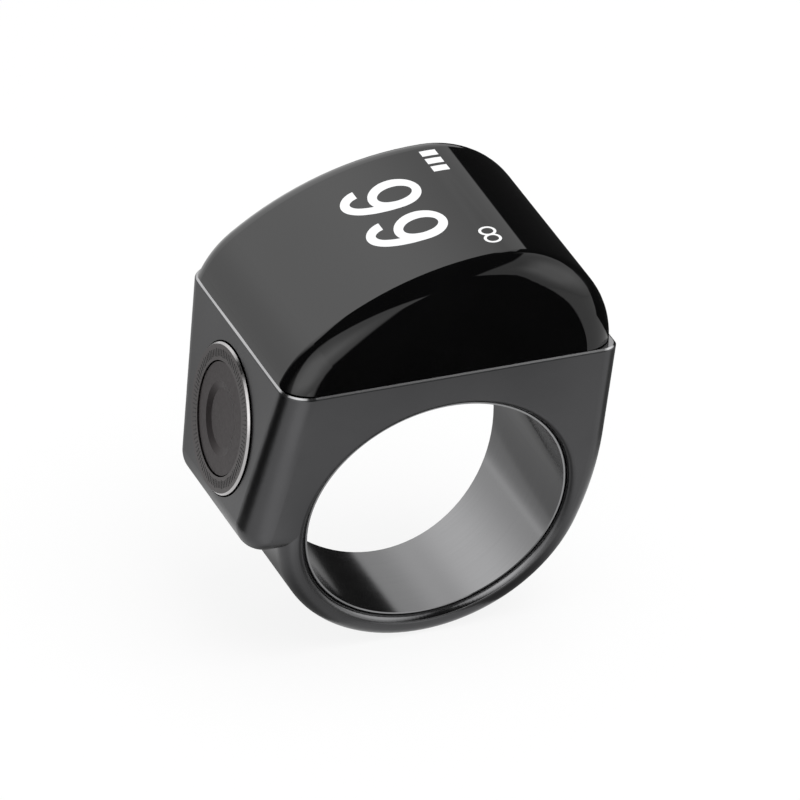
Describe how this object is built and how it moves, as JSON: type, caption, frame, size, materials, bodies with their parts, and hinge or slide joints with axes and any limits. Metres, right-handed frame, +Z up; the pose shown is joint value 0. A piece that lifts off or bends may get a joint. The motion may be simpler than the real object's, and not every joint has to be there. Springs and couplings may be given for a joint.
{
  "type": "digital tasbih counter ring",
  "caption": "Finger ring with a dark domed display crown and a round press button on its side, which counts recitations one press at a time.",
  "frame": {"origin": "the middle of the finger hole, on its axis", "axes": "+Y along the finger, +Z up to the display crown, the press button on the -X side"},
  "size_m": [0.028, 0.0216, 0.0335],
  "materials": {
    "shell_metal": "satin dark grey coating",
    "liner_steel": "polished, with fine lines round the hole",
    "lens_black": "high gloss, dark tinted",
    "seal_rubber": "matt",
    "board_green": "solder mask over glass fibre",
    "screw_steel": "plain",
    "chip_black": "moulded",
    "crystal_can": "plain",
    "passive_ceramic": "matt",
    "connector_plastic": "moulded",
    "pad_foam": "soft tape",
    "battery_foil": "pressed foil",
    "tab_nickel": "plain strip",
    "panel_glass": "dark, polished",
    "bracket_plastic": "moulded",
    "flex_amber": "film",
    "contact_gold": "plated",
    "bezel_metal": "turned, bright bevel",
    "cap_metal": "satin warm grey",
    "switch_steel": "plain",
    "switch_plastic": "moulded",
    "rotor_weight": "dense sintered metal"
  },
  "bodies": {
    "ring": {"ring_shell": "shell_metal", "finger_liner": "liner_steel", "crown_lens": "lens_black", "lens_gasket": "seal_rubber", "main_board": "board_green", "board_screws": "screw_steel", "controller_chip": "chip_black", "charger_chip": "chip_black", "clock_crystal": "crystal_can", "board_passives": "passive_ceramic", "switch_connector": "connector_plastic", "display_connector": "connector_plastic", "battery_pad": "pad_foam", "battery_cell": "battery_foil", "battery_tabs": "tab_nickel", "display_substrate": "panel_glass", "display_cover": "panel_glass", "display_driver": "chip_black", "display_bracket": "bracket_plastic", "display_flex": "flex_amber", "charge_contacts": "contact_gold", "contact_bushings": "bracket_plastic", "button_bezel": "bezel_metal", "switch_cover": "switch_steel", "switch_housing": "switch_plastic", "switch_dome": "switch_steel", "switch_flex": "flex_amber", "switch_stiffener": "switch_steel", "motor_base": "switch_steel", "motor_case": "switch_steel", "motor_shaft": "screw_steel", "motor_pad": "pad_foam"},
    "button": {"button_cap": "cap_metal", "cap_seal": "seal_rubber"},
    "plunger": {"switch_plunger": "switch_plastic"},
    "rotor": {"motor_rotor": "rotor_weight"}
  },
  "joints": [
    {"name": "button_press", "type": "slide", "parent": "ring", "child": "button", "axis": [0.9879, 0, -0.1551], "range_m": [0, 0.00025], "stiffness_N_per_m": 4000, "deforming": ["switch_dome"]},
    {"name": "plunger_press", "type": "slide", "parent": "ring", "child": "plunger", "axis": [0.9879, 0, -0.1551], "range_m": [0, 0.00025]},
    {"name": "motor_spin", "type": "hinge", "parent": "ring", "child": "rotor", "pos_m": [0.01037, 0, 0.00881], "axis": [1, 0, 0], "continuous": true}
  ],
  "couplings": [
    {"joint": "plunger_press", "follows": "button_press", "ratio": 1}
  ]
}
